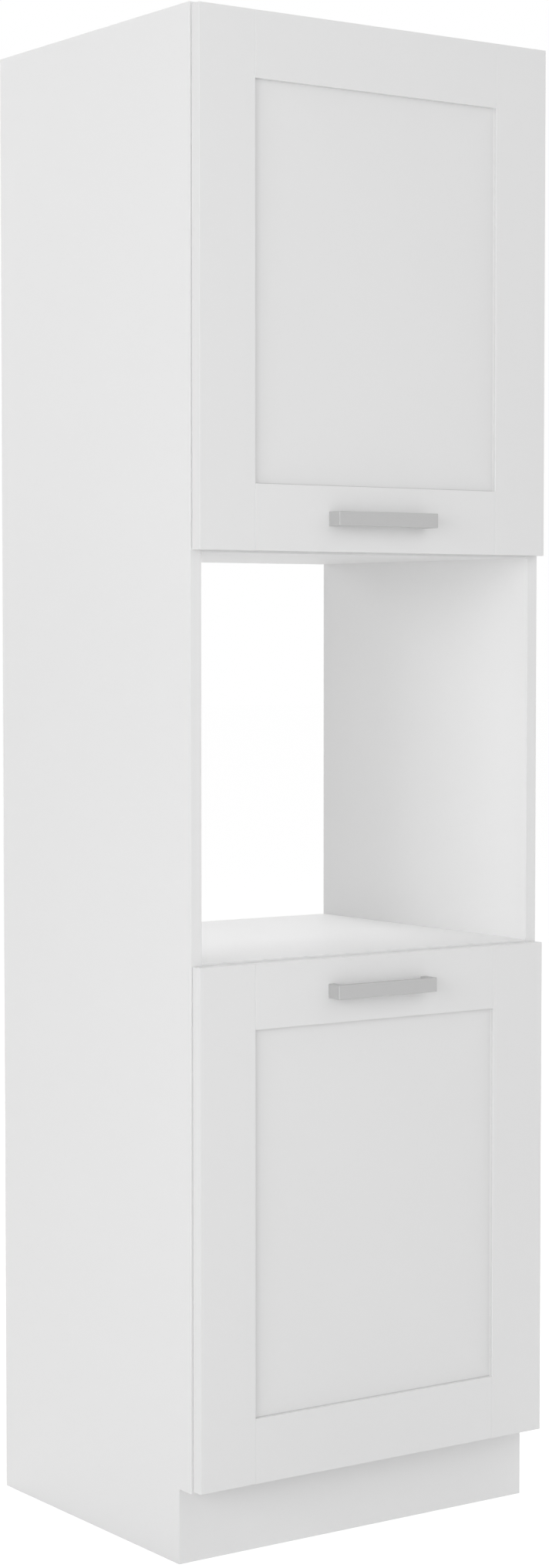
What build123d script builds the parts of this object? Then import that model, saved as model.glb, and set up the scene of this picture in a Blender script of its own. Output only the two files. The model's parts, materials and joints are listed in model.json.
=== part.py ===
from build123d import *
import math
import os

# Tall oven cabinet: two doors, an open oven niche between them, a plinth below.
# Millimetres, +Z up, the front faces -Y, the origin is on the floor under the middle of the whole.

os.makedirs("parts", exist_ok=True)

# Carcass
width = 600.0
height = 2100.0
carcass_depth = 500.0
board = 18.0
plinth_height = 104.0
plinth_setback = 30.0
plinth_board = 18.0
niche_floor_top = 823.0
niche_height = 552.0
edge_round = 0.6

# Back panels, held in grooves
back_thickness = 3.0
back_inset = 10.0
groove_depth = 8.0
panel_play = 0.5

# Adjustable shelves on pins
shelf_setback = 20.0
shelf_side_play = 1.0
upper_shelf_rise = 330.0
lower_shelf_rise = 330.0
pin_radius = 2.5
pin_depth = 9.0
pin_reach = 8.0
pin_column_inset = 60.0
pin_pitch = 32.0
pin_hole_count = 3

# Cam fittings and dowels that join the fixed boards to the sides
cam_radius = 7.5
cam_height = 12.5
cam_edge_distance = 24.0
cam_slot = 2.0
bolt_radius = 3.0
bolt_head_radius = 3.4
bolt_head_length = 2.5
bolt_side_depth = 11.0
bolt_neck_radius = 2.0
dowel_radius = 4.0
dowel_depth = 12.0
dowel_length = 30.0
fitting_inset = 70.0
dowel_offset = 32.0
hole_play = 0.05

# Plinth corner blocks
block_size = 24.0
block_height = 40.0
block_lift = 20.0
wood_screw_radius = 2.0
wood_screw_head_radius = 4.0
wood_screw_head = 2.2
wood_screw_length = 16.0
block_screw_grip = 12.0

# Wall brackets under the top panel
bracket_leg = 38.0
bracket_width = 30.0
bracket_thickness = 2.5
bracket_spacing = 420.0
wall_hole_radius = 3.0
bracket_drop = 22.0

# Doors
reveal = 3.0
door_gap = 1.0
door_thickness = 18.0
frame_width = 90.0
door_panel = 6.0
frame_groove = 8.0
bumper_radius = 4.0
bumper_clearance = 0.3
bumper_inset = 30.0

# Handles
handle_length = 170.0
handle_height = 20.0
handle_reach = 25.0
handle_bar = 7.0
handle_leg = 10.0
handle_round = 1.0
handle_screw_radius = 2.0
handle_screw_head_radius = 4.2
handle_screw_head = 2.4
handle_thread = 12.0

# Concealed hinges. In the hinge plan, u runs from the side panel's inner face into the
# cabinet, and w runs forward from the carcass front. Pivots are places in that plan, door shut.
hinge_inset = 100.0
cup_radius = 17.5
cup_depth = 12.5
cup_wall = 1.2
cup_floor = 1.0
cup_edge_distance = 22.5
cup_window = 5.9
rim_width = 1.6
rim_thickness = 0.6
cup_screw_spacing = 45.0
cup_screw_offset = 9.5
cup_screw_length = 11.0
cup_screw_radius = 1.8
cup_screw_head_radius = 3.4
cup_screw_head = 1.4
wing_radius = 5.5
hinge_pin_radius = 1.25
pin_play = 0.05
inner_pivot = (22.226, -8.885)
inner_cup_pivot = (-5.339, 4.0)
outer_pivot = (24.397, -2.8)
outer_cup_pivot = (-5.264, 8.012)
outer_eye = (-5.18, 9.006)
outer_eye_play = 1.13
link_half_width = 1.8
link_eye_radius = 2.1
outer_link_half_width = 1.6
outer_eye_radius = 3.15
outer_link_half_height = 3.4
layer_gap = 0.5
link_plate = 1.2
arm_gap = 0.3
arm_plate = 1.2
cup_pin_half_length = 10.2
link_bow = 3.8
arm_crest = 28.2
arm_back = 17.2
arm_foot = 6.0
arm_front = -0.8
arm_shoulder = -13.0
arm_bend = -30.0
arm_end = -64.0
clamp_setback = 52.0
clamp_screw_radius = 2.5
clamp_screw_length = 9.0
clamp_screw_head_radius = 3.8
clamp_screw_head = 2.0
plate_setback = 37.0
plate_screw_spacing = 32.0
plate_wing = 54.0
plate_wing_depth = 11.0
plate_wing_height = 2.5
ridge_half_height = 5.0
ridge_front = -27.5
ridge_back = -60.0

# Places that follow from the sizes
half = width / 2
inner = half - board
total_depth = carcass_depth + door_gap + door_thickness + handle_reach
rear_y = total_depth / 2
front_y = rear_y - carcass_depth
door_back_y = front_y - door_gap
door_face_y = door_back_y - door_thickness
niche_ceiling = niche_floor_top + niche_height
back_front_y = rear_y - back_inset - back_thickness
plinth_back_y = front_y + plinth_setback + plinth_board
door_half = half - reveal
opening_half = door_half - frame_width
frame_middle_y = (door_back_y + door_face_y) / 2
cup_centre = inner - door_half + cup_edge_distance
inner_plate_z = outer_link_half_height + layer_gap
arm_half_height = inner_plate_z + link_plate + arm_gap + arm_plate
ridge_height = arm_back - arm_plate


def block(x0, x1, y0, y1, z0, z1):
    """A box between two corners."""
    return Pos(x0, y0, z0) * Box(x1 - x0, y1 - y0, z1 - z0, align=(Align.MIN,) * 3)


def rod(start, direction, radius, length):
    """A cylinder from a start point along a direction."""
    return Plane(origin=start, z_dir=direction) * Cylinder(
        radius, length, align=(Align.CENTER, Align.CENTER, Align.MIN)
    )


def save(node, solids):
    """Write one node, which holds one solid or a group of them."""
    export_step(Compound(children=list(solids)), f"parts/{node}.step")


def round_front(solid, face_y, radius=edge_round):
    """Rounds the edges that lie in a front plane."""
    front = solid.edges().filter_by_position(Axis.Y, face_y - 0.01, face_y + 0.01)
    return fillet(front, radius)


def screw(start, direction, radius, length, head_radius, head):
    """A screw whose head rests on a face at the start, with a round drive socket."""
    x, y, z = start
    a, b, c = direction
    top = (x - a * head, y - b * head, z - c * head)
    body = rod(start, direction, radius, length) + rod(top, direction, head_radius, head)
    return body - rod(top, direction, head_radius * 0.45, head * 0.6)


def wood_screw(start, direction, length=wood_screw_length):
    return screw(start, direction, wood_screw_radius, length, wood_screw_head_radius, wood_screw_head)


# The fixed boards, as the heights of their undersides and the side of each that hides its cams
fixed_boards = {
    "top_panel": (height - board, -1),
    "niche_ceiling_board": (niche_ceiling, 1),
    "niche_floor_board": (niche_floor_top - board, -1),
    "bottom_panel": (plinth_height, -1),
}
fitting_rows = (front_y + fitting_inset, rear_y - fitting_inset)
compartments = {
    "upper": (niche_ceiling + board, height - board, upper_shelf_rise),
    "lower": (plinth_height + board, niche_floor_top - board, lower_shelf_rise),
}
pin_columns = (front_y + pin_column_inset, rear_y - pin_column_inset)
doors = {
    "upper": (niche_ceiling + reveal, height - reveal),
    "lower": (plinth_height + reveal, niche_floor_top - reveal),
}


def shelf_underside(part):
    floor, _, rise = compartments[part]
    return floor + rise


def fitting_places():
    """Every cam fitting: the end of the board it joins, its y and the board's middle height."""
    for underside, cam_side in fixed_boards.values():
        for side in (-1, 1):
            for y in fitting_rows:
                yield side, y, underside + board / 2, cam_side


def back_slab(part, reach):
    """A slab as thick as a back panel that reaches into the boards around its compartment."""
    floor, ceiling, _ = compartments[part]
    return block(-inner - reach, inner + reach, back_front_y, back_front_y + back_thickness,
                 floor - reach, ceiling + reach)


def side_panel(side):
    """One side panel, notched for the plinth, grooved and drilled on its inner face."""
    x_out, x_in = side * half, side * inner
    panel = block(min(x_out, x_in), max(x_out, x_in), front_y, rear_y, 0, height)
    panel = round_front(panel, front_y)
    panel -= block(-half, half, front_y, front_y + plinth_setback + plinth_board, 0, plinth_height)
    for part in compartments:
        panel -= back_slab(part, groove_depth)
    into_side = (side, 0, 0)
    for end, y, z, _ in fitting_places():
        if end == side:
            panel -= rod((x_in, y, z), into_side, bolt_radius, bolt_side_depth)
            panel -= rod((x_in, y + dowel_offset, z), into_side, dowel_radius, dowel_depth + panel_play)
    for part in compartments:
        for y in pin_columns:
            for step in range(pin_hole_count):
                z = shelf_underside(part) - pin_radius + (step - pin_hole_count // 2) * pin_pitch
                panel -= rod((x_in, y, z), into_side, pin_radius + hole_play, pin_depth)
    for start, direction in block_screw_places():
        if direction[0] == side:
            panel -= rod((x_in, start[1], start[2]), into_side, wood_screw_radius, block_screw_grip)
    return panel


def fixed_board(underside, cam_side):
    """A board between the sides, with its cam bores and the bores in its ends."""
    panel = block(-inner, inner, front_y, rear_y, underside, underside + board)
    for part in compartments:
        panel -= back_slab(part, groove_depth)
    middle = underside + board / 2
    face = underside if cam_side < 0 else underside + board
    for side in (-1, 1):
        inward = (-side, 0, 0)
        for y in fitting_rows:
            cam_x = side * (inner - cam_edge_distance)
            panel -= rod((cam_x, y, face), (0, 0, -cam_side), cam_radius + hole_play, cam_height + hole_play)
            panel -= rod((side * inner, y, middle), inward, bolt_radius + 1, cam_edge_distance)
            panel -= rod((side * inner, y + dowel_offset, middle), inward, dowel_radius,
                         dowel_length - dowel_depth + panel_play)
    return panel


def cam_fittings():
    """The cams, the bolts screwed into the sides and the dowels beside them."""
    cams, bolts, dowels = [], [], []
    for side, y, z, cam_side in fitting_places():
        cam_x = side * (inner - cam_edge_distance)
        face = z + cam_side * board / 2
        cam = rod((cam_x, y, face), (0, 0, -cam_side), cam_radius, cam_height)
        outward = (side, 0, 0)
        head_x = cam_x - side * bolt_head_length
        cam -= rod((head_x, y, z), outward, bolt_head_radius + hole_play, bolt_head_length)
        cam -= rod((cam_x, y, z), outward, bolt_neck_radius + hole_play, cam_radius + 1)
        low, high = sorted((face, face - cam_side * cam_slot))
        for a, b in ((cam_slot, cam_radius * 1.2), (cam_radius * 1.2, cam_slot)):
            cam -= block(cam_x - a / 2, cam_x + a / 2, y - b / 2, y + b / 2, low, high)
        cams.append(cam)
        neck = cam_radius + 1
        bolt = rod((head_x, y, z), outward, bolt_head_radius, bolt_head_length)
        bolt += rod((cam_x, y, z), outward, bolt_neck_radius, neck)
        bolt += rod((cam_x + side * neck, y, z), outward, bolt_radius,
                    cam_edge_distance - neck + bolt_side_depth)
        bolts.append(bolt)
        dowel_x = side * (inner + dowel_depth - dowel_length)
        dowels.append(rod((dowel_x, y + dowel_offset, z), outward, dowel_radius - hole_play, dowel_length))
    return cams, bolts, dowels


def shelf_and_pins(part):
    """An adjustable shelf with the four pins that it rests on."""
    underside = shelf_underside(part)
    reach = inner - shelf_side_play
    shelf = block(-reach, reach, front_y + shelf_setback, back_front_y - shelf_side_play,
                  underside, underside + board)
    pins = []
    for side in (-1, 1):
        for y in pin_columns:
            start = (side * (inner - pin_reach), y, underside - pin_radius)
            pins.append(rod(start, (side, 0, 0), pin_radius, pin_reach + pin_depth - panel_play))
    return round_front(shelf, front_y + shelf_setback), pins


def block_screw_places():
    """The screws of the plinth blocks: one into the side and one into the plinth board."""
    places = []
    for side in (-1, 1):
        places.append(((side * (inner - block_size), plinth_back_y + block_size / 2,
                        block_lift + block_height * 0.25), (side, 0, 0)))
        places.append(((side * (inner - block_size / 2), plinth_back_y + block_size,
                        block_lift + block_height * 0.75), (0, -1, 0)))
    return places


def plinth():
    """The plinth board, its corner blocks and their screws."""
    panel = block(-half, half, front_y + plinth_setback, plinth_back_y, 0, plinth_height)
    panel = round_front(panel, front_y + plinth_setback)
    blocks = []
    for side in (-1, 1):
        x0, x1 = sorted((side * inner, side * (inner - block_size)))
        blocks.append(block(x0, x1, plinth_back_y, plinth_back_y + block_size,
                            block_lift, block_lift + block_height))
    screws = [wood_screw(start, direction, block_size + block_screw_grip)
              for start, direction in block_screw_places()]
    for body in screws:
        panel -= body
        blocks = [corner - body for corner in blocks]
    return panel, blocks, screws


def wall_fixing():
    """The angle brackets under the top panel, with a hole for the wall screw, and their screws."""
    ceiling = height - board
    brackets, screws, holes = [], [], []
    for side in (-1, 1):
        x = side * bracket_spacing / 2
        x0, x1 = x - bracket_width / 2, x + bracket_width / 2
        angle = block(x0, x1, back_front_y - bracket_leg, back_front_y, ceiling - bracket_thickness, ceiling)
        angle += block(x0, x1, back_front_y - bracket_thickness, back_front_y, ceiling - bracket_leg, ceiling)
        start = (x, back_front_y - bracket_leg * 0.6, ceiling - bracket_thickness)
        body = wood_screw(start, (0, 0, 1), bracket_thickness + block_screw_grip)
        hole = rod((x, back_front_y - bracket_leg, ceiling - bracket_drop), (0, 1, 0),
                   wall_hole_radius, bracket_leg + back_inset + back_thickness)
        brackets.append(angle - body - hole)
        screws.append(body)
        holes.append(hole)
    return brackets, screws, holes


def plan(u, w, z):
    """The point at a place in the hinge plan."""
    return inner - u, front_y - w, z


def post(place, radius, z0, z1):
    """A cylinder that stands on a place in the hinge plan."""
    return rod(plan(*place, z0), (0, 0, 1), radius, z1 - z0)


def slab(outline, z0, z1):
    """A flat piece between two heights, its outline in the hinge plan."""
    edges = Polyline(*[plan(u, w, z0) for u, w in outline], close=True)
    return extrude(make_face(edges), z1 - z0, dir=(0, 0, 1))


def link_bar(start, end, half_width, z0, z1):
    """A bar with round ends that bows away from the rim of the cup."""
    across = (end[0] - start[0], end[1] - start[1])
    length = math.hypot(*across)
    middle = ((start[0] + end[0]) / 2 + link_bow * across[1] / length,
              (start[1] + end[1]) / 2 - link_bow * across[0] / length)
    arc = ThreePointArc(plan(*start, z0), plan(*middle, z0), plan(*end, z0))
    return extrude(SlotArc(arc, 2 * half_width), z1 - z0, dir=(0, 0, 1))


def cup_bore(z):
    """The space a cup takes in the door, with the flush rim and wings of its flange."""
    x = inner - cup_centre
    forward = (0, -1, 0)
    rim = cup_radius + rim_width
    wing_x = x - cup_screw_offset
    bore = rod((x, door_back_y, z), forward, cup_radius, cup_depth)
    bore += rod((x, door_back_y, z), forward, rim, rim_thickness)
    bore += block(wing_x - wing_radius, wing_x + wing_radius, door_back_y - rim_thickness, door_back_y,
                  z - cup_screw_spacing / 2, z + cup_screw_spacing / 2)
    for step in (-1, 1):
        bore += rod((wing_x, door_back_y, z + step * cup_screw_spacing / 2), forward,
                    wing_radius, rim_thickness)
    return bore


def cup_screws(z):
    """The two screws of one cup."""
    x = inner - cup_centre - cup_screw_offset
    return [screw((x, door_back_y, z + step * cup_screw_spacing / 2), (0, -1, 0), cup_screw_radius,
                  cup_screw_length, cup_screw_head_radius, cup_screw_head) for step in (-1, 1)]


def cup_pins(z):
    """The long pin for the outer link and the two short pins for the inner link."""
    reach = cup_pin_half_length
    start = outer_link_half_height + layer_gap - 0.1
    return [
        post(outer_cup_pivot, hinge_pin_radius, z - reach, z + reach),
        post(inner_cup_pivot, hinge_pin_radius, z - reach, z - start),
        post(inner_cup_pivot, hinge_pin_radius, z + start, z + reach),
    ]


def hinge_cup(z):
    """A hinge cup, open towards the links at its near side."""
    x = inner - cup_centre
    forward = (0, -1, 0)
    cup = cup_bore(z) - rod((x, door_back_y, z), forward, cup_radius - cup_wall, cup_depth - cup_floor)
    near_x = x + cup_radius + rim_width
    cup -= block(x, near_x, door_back_y - cup_depth + cup_floor, door_back_y,
                 z - cup_window, z + cup_window)
    for body in cup_pins(z) + cup_screws(z):
        cup -= body
    return cup


def inner_link(z):
    """The link that carries the door: two plates on one barrel."""
    high = inner_plate_z + link_plate
    link = post(inner_pivot, link_eye_radius, z - high, z + high)
    for low in (z - high, z + inner_plate_z):
        link += link_bar(inner_pivot, inner_cup_pivot, link_half_width, low, low + link_plate)
        link += post(inner_cup_pivot, link_eye_radius, low, low + link_plate)
    for place in (inner_pivot, inner_cup_pivot):
        link -= post(place, hinge_pin_radius + pin_play, z - high, z + high)
    return link


def outer_link(z):
    """The link in the middle, with a wide eye around the long cup pin."""
    low, high = z - outer_link_half_height, z + outer_link_half_height
    link = link_bar(outer_pivot, outer_eye, outer_link_half_width, low, high)
    link += post(outer_pivot, link_eye_radius, low, high)
    link += post(outer_eye, outer_eye_radius, low, high)
    link -= post(outer_pivot, hinge_pin_radius + pin_play, low, high)
    return link - post(outer_eye, hinge_pin_radius + outer_eye_play, low, high)


def arm_pins(z):
    return [post(place, hinge_pin_radius, z - arm_half_height, z + arm_half_height)
            for place in (inner_pivot, outer_pivot)]


def hinge_arm(z):
    """The arm: two cheeks around the links, joined by a crest that is cranked down to the plate."""
    cheek = [(arm_crest, arm_front), (arm_crest, arm_shoulder), (arm_back, arm_bend), (arm_back, arm_end),
             (arm_foot, arm_end), (arm_foot, arm_bend), (18.9, arm_shoulder), (18.9, -6.5), (21.8, arm_front)]
    crest = cheek[:4] + [(u - arm_plate, w) for u, w in reversed(cheek[:4])]
    arm = slab(crest, z - arm_half_height, z + arm_half_height)
    for low in (-arm_half_height, arm_half_height - arm_plate):
        arm += slab(cheek, z + low, z + low + arm_plate)
    for body in arm_pins(z) + [clamp_screw(z)]:
        arm -= body
    return arm


def clamp_screw(z):
    """The screw that clamps the arm on the ridge of its plate."""
    return screw(plan(arm_back, -clamp_setback, z), (1, 0, 0), clamp_screw_radius, clamp_screw_length,
                 clamp_screw_head_radius, clamp_screw_head)


def plate_screws(z):
    return [wood_screw(plan(plate_wing_height, -plate_setback, z + step * plate_screw_spacing / 2), (1, 0, 0))
            for step in (-1, 1)]


def mounting_plate(z):
    """The winged plate on the side panel, with the ridge that the arm sits on."""
    wing_w = -plate_setback - plate_wing_depth / 2
    wing = [(0, wing_w), (plate_wing_height, wing_w), (plate_wing_height, wing_w + plate_wing_depth),
            (0, wing_w + plate_wing_depth)]
    ridge = [(0, ridge_back), (ridge_height, ridge_back), (ridge_height, ridge_front - 6),
             (arm_foot, ridge_front), (0, ridge_front)]
    plate = slab(wing, z - plate_wing / 2, z + plate_wing / 2)
    plate += slab(ridge, z - ridge_half_height, z + ridge_half_height)
    for body in plate_screws(z) + [clamp_screw(z)]:
        plate -= body
    return plate


def hinge_heights(part):
    """The heights of a door's two hinges."""
    low, high = doors[part]
    return low + hinge_inset, high - hinge_inset


def tongue(x0, x1, z0, z1):
    """A slab as thick as a door's centre panel, in the middle of the door's thickness."""
    return block(x0, x1, frame_middle_y - door_panel / 2, frame_middle_y + door_panel / 2, z0, z1)


def handle(z):
    """A flat bow handle, and the two screws that hold it through the rail."""
    reach_y = door_face_y - handle_reach
    bow = block(-handle_length / 2, handle_length / 2, reach_y, door_face_y,
                z - handle_height / 2, z + handle_height / 2)
    grip = handle_length / 2 - handle_leg
    bow -= block(-grip, grip, reach_y + handle_bar, door_face_y, z - handle_height, z + handle_height)
    free_edges = bow.edges().filter_by(lambda edge: edge.center().Y < door_face_y - 0.01)
    bow = fillet(free_edges, handle_round)
    screws = [screw((side * (grip + handle_leg / 2), door_back_y, z), (0, -1, 0), handle_screw_radius,
                    door_thickness + handle_thread, handle_screw_head_radius, handle_screw_head)
              for side in (-1, 1)]
    for body in screws:
        bow -= body
    return bow, screws


def door(part):
    """The pieces of one door, by name."""
    low, high = doors[part]
    stiles = []
    for side in (-1, 1):
        x0, x1 = sorted((side * opening_half, side * door_half))
        stile = round_front(block(x0, x1, door_face_y, door_back_y, low, high), door_face_y)
        groove_x = sorted((side * opening_half, side * (opening_half + frame_groove)))
        stiles.append(stile - tongue(*groove_x, low, high))
    rails = []
    for edge, inward in ((high, -1), (low, 1)):
        z0, z1 = sorted((edge, edge + inward * frame_width))
        rail = round_front(block(-opening_half, opening_half, door_face_y, door_back_y, z0, z1), door_face_y)
        tenon_reach = opening_half + frame_groove
        rail += tongue(-tenon_reach, tenon_reach, z0, z1)
        inner_edge = edge + inward * frame_width
        groove_z = sorted((inner_edge, inner_edge - inward * frame_groove))
        rails.append(rail - tongue(-tenon_reach, tenon_reach, *groove_z))
    reach = frame_groove - panel_play
    panel = tongue(-opening_half - reach, opening_half + reach,
                   low + frame_width - reach, high - frame_width + reach)
    bow, bow_screws = handle(low + frame_width / 2 if part == "upper" else high - frame_width / 2)
    handle_rail = 1 if part == "upper" else 0
    for body in bow_screws:
        rails[handle_rail] -= body
    cups, screws, pins = [], [], []
    for z in hinge_heights(part):
        cups.append(hinge_cup(z))
        screws += cup_screws(z)
        pins += cup_pins(z)
        stiles[1] -= cup_bore(z)
    for body in screws:
        stiles[1] -= body
    bumper_x = -half + board / 2
    bumper_length = door_gap - bumper_clearance
    bumpers = [rod((bumper_x, door_back_y, z), (0, 1, 0), bumper_radius, bumper_length)
               for z in (low + bumper_inset, high - bumper_inset)]
    return {
        "left_stile": [stiles[0]],
        "right_stile": [stiles[1]],
        "top_rail": [rails[0]],
        "bottom_rail": [rails[1]],
        "panel": [panel],
        "handle": [bow],
        "handle_screws": bow_screws,
        "hinge_cups": cups,
        "cup_screws": screws,
        "cup_pins": pins,
        "bumpers": bumpers,
    }


def save_carcass():
    """Write the fixed pieces."""
    cams, bolts, dowels = cam_fittings()
    brackets, bracket_screws, wall_holes = wall_fixing()
    plinth_panel, corner_blocks, corner_screws = plinth()
    right_panel = side_panel(1)
    for part in compartments:
        back = back_slab(part, groove_depth - panel_play)
        for hole in wall_holes:
            back -= hole
        shelf, pins = shelf_and_pins(part)
        save(f"{part}_back_panel", [back])
        save(f"{part}_adjustable_shelf", [shelf])
        save(f"{part}_shelf_pins", pins)
        heights = hinge_heights(part)
        save(f"{part}_hinge_arms", [hinge_arm(z) for z in heights])
        save(f"{part}_arm_pins", [pin for z in heights for pin in arm_pins(z)])
        save(f"{part}_arm_clamp_screws", [clamp_screw(z) for z in heights])
        save(f"{part}_mounting_plates", [mounting_plate(z) for z in heights])
        save(f"{part}_inner_links", [inner_link(z) for z in heights])
        save(f"{part}_outer_links", [outer_link(z) for z in heights])
        screws = [body for z in heights for body in plate_screws(z)]
        save(f"{part}_plate_screws", screws)
        for body in screws:
            right_panel -= body
    save("left_side_panel", [side_panel(-1)])
    save("right_side_panel", [right_panel])
    for node, (underside, cam_side) in fixed_boards.items():
        panel = fixed_board(underside, cam_side)
        if node == "top_panel":
            for body in bracket_screws:
                panel -= body
        save(node, [panel])
    save("cam_locks", cams)
    save("cam_bolts", bolts)
    save("wood_dowels", dowels)
    save("plinth_board", [plinth_panel])
    save("plinth_corner_blocks", corner_blocks)
    save("plinth_block_screws", corner_screws)
    save("wall_brackets", brackets)
    save("wall_bracket_screws", bracket_screws)


save_carcass()
for part in doors:
    for node, solids in door(part).items():
        save(f"{part}_{node}", solids)
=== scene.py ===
# %% [markdown]
# # A tall oven cabinet, dressed for the camera
#
# The solid model of the cabinet is already finished: 56 pieces that sit where they belong and
# move where the real ones move. This script loads them, gives every piece the finish of the
# real one, adds the fine parts that are easier to make here, and sets up floor, light and
# camera. Lengths are in metres, +Z is up, and the doors face -Y.

# %% Load the model
import json
import math

import bmesh
import bpy
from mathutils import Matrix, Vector


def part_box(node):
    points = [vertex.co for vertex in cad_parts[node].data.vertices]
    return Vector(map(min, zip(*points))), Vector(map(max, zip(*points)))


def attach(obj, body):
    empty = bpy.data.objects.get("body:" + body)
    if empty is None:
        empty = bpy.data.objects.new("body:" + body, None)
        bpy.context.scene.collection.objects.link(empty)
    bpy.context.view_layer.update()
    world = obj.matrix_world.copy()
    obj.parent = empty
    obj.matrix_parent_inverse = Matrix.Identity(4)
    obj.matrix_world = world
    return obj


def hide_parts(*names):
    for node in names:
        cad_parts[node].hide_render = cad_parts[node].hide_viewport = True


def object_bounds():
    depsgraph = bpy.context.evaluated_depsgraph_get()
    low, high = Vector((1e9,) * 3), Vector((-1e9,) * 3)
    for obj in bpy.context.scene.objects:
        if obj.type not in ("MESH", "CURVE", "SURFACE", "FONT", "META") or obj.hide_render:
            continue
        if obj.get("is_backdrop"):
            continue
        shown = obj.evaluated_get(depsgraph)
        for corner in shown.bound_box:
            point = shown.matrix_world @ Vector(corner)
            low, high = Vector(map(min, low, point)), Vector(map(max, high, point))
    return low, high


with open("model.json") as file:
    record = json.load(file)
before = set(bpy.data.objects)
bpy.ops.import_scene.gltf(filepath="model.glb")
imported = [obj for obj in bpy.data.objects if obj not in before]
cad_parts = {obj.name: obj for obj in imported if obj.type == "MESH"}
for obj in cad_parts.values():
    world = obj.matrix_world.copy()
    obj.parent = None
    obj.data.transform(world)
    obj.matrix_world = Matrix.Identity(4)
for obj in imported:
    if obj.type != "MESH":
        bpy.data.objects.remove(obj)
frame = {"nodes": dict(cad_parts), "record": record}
nodes = frame["nodes"]
cad_low, cad_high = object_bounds()
print("pieces:", len(nodes), "size:", [round(v, 4) for v in cad_high - cad_low])

# %% [markdown]
# ## Three small helpers
#
# Colours are written the way a paint chart or an image editor gives them, as sRGB hex. Blender
# calculates light with linear values, so one function turns one into the other. A second
# function adds a node to any tree, shader or geometry, with its settings and its links in one
# line, which keeps every recipe below short enough to read. A third starts a material: one
# shader, and the object coordinates that keep a pattern in its place when a door swings.

# %% Colour, node and material helpers
MM = 0.001


def linear(hex_colour):
    """The linear RGBA of an sRGB hex colour."""
    values = [int(hex_colour[i:i + 2], 16) / 255 for i in (1, 3, 5)]
    return [v / 12.92 if v <= 0.04045 else ((v + 0.055) / 1.055) ** 2.4 for v in values] + [1.0]


def add(tree, kind, inputs=None, **settings):
    """A new node in the tree; an input is a value or the output socket of another node."""
    node = tree.nodes.new(kind)
    for name, value in settings.items():
        setattr(node, name, value)
    for key, value in (inputs or {}).items():
        if isinstance(value, bpy.types.NodeSocket):
            tree.links.new(value, node.inputs[key])
        else:
            node.inputs[key].default_value = value
    return node


def new_finish(name, **shader_values):
    """A material with one shader; gives the tree, the shader and the object coordinates."""
    material = bpy.data.materials.new(name)
    material.use_nodes = True
    tree = material.node_tree
    shader = tree.nodes["Principled BSDF"]
    for key, value in shader_values.items():
        shader.inputs[key.replace("_", " ")].default_value = value
    coordinates = add(tree, "ShaderNodeTexCoord").outputs["Object"]
    return material, tree, shader, coordinates


# %% [markdown]
# ## The recess in each door
#
# Each door has a flat recess in front of its centre panel. The door's colour takes painted shade
# in there, and later a bead of paint runs along two of its edges, so its place is measured once
# from the rails, whose ends reach into the stiles by a tongue. For the painted shade, a small
# chain of Math nodes works out how far a point lies from the nearest side of the recess.

# %% Measure the recesses
TONGUE = 8 * MM


def recess_of(part):
    """Left, right, bottom and top of a door's recess, and the face of its panel."""
    rail_low, rail_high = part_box(part + "bottom_rail")
    return (rail_low.x + TONGUE, rail_high.x - TONGUE, rail_high.z,
            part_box(part + "top_rail")[0].z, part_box(part + "panel")[0].y)


def inside_recess(tree, spot, recess):
    """How far a point lies inside the nearest side of a recess; negative outside of it."""
    left, right, low, high, _ = recess
    to_side = []
    for along, start, end in ((spot["X"], left, right), (spot["Z"], low, high)):
        off = add(tree, "ShaderNodeMath", {0: along, 1: (start + end) / 2}, operation="SUBTRACT")
        off = add(tree, "ShaderNodeMath", {0: off.outputs[0]}, operation="ABSOLUTE")
        room = add(tree, "ShaderNodeMath", {0: (end - start) / 2, 1: off.outputs[0]},
                   operation="SUBTRACT")
        to_side.append(room.outputs[0])
    nearest = add(tree, "ShaderNodeMath", {0: to_side[0], 1: to_side[1]}, operation="MINIMUM")
    return nearest.outputs[0]


door_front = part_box("upper_left_stile")[0].y
recesses = {part: recess_of(part) for part in ("upper_", "lower_")}
for part, recess in recesses.items():
    print(part + "recess (mm):", [round(v / MM, 1) for v in recess])

# %% [markdown]
# ## Satin lacquer on the doors
#
# The doors are fibreboard, sprayed with white lacquer and left satin. Sprayed lacquer flows
# out almost flat, but never fully: a very low, soft swell called orange peel stays in it, about
# 2 mm from crest to crest. Blender's noise is right for that, as a faint bump. A second, much
# larger noise moves the white by about one percent and the roughness by 0.02, so that a broad
# door doesn't look like one flat fill.
#
# The recess takes two marks of painted shade in its colour. Towards its corners the colour gets a
# shade greyer, as painted shade where the corners' shade falls: on the centre panel over about two
# centimetres, fast at the end, and on the stiles' inner walls below their front edge. Along the
# bottom rail a dark hairline is painted shade of the gap between panel and rail.

# %% Painted shade in the recess
SHADE_FADE = 8 * MM      # the painted shade on a panel falls as exp(-sqrt(distance / this length))
# height of the painted shade line along the hairline gap at the bottom rail
GAP_SHADE_HEIGHT = 1.0 * MM
WALL_SHADE_FADE = 2 * MM      # the painted shade on a stile's wall begins over this depth
WALL_SLACK = 0.05 * MM  # a wall is what lies in the recess or this close to it


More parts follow.
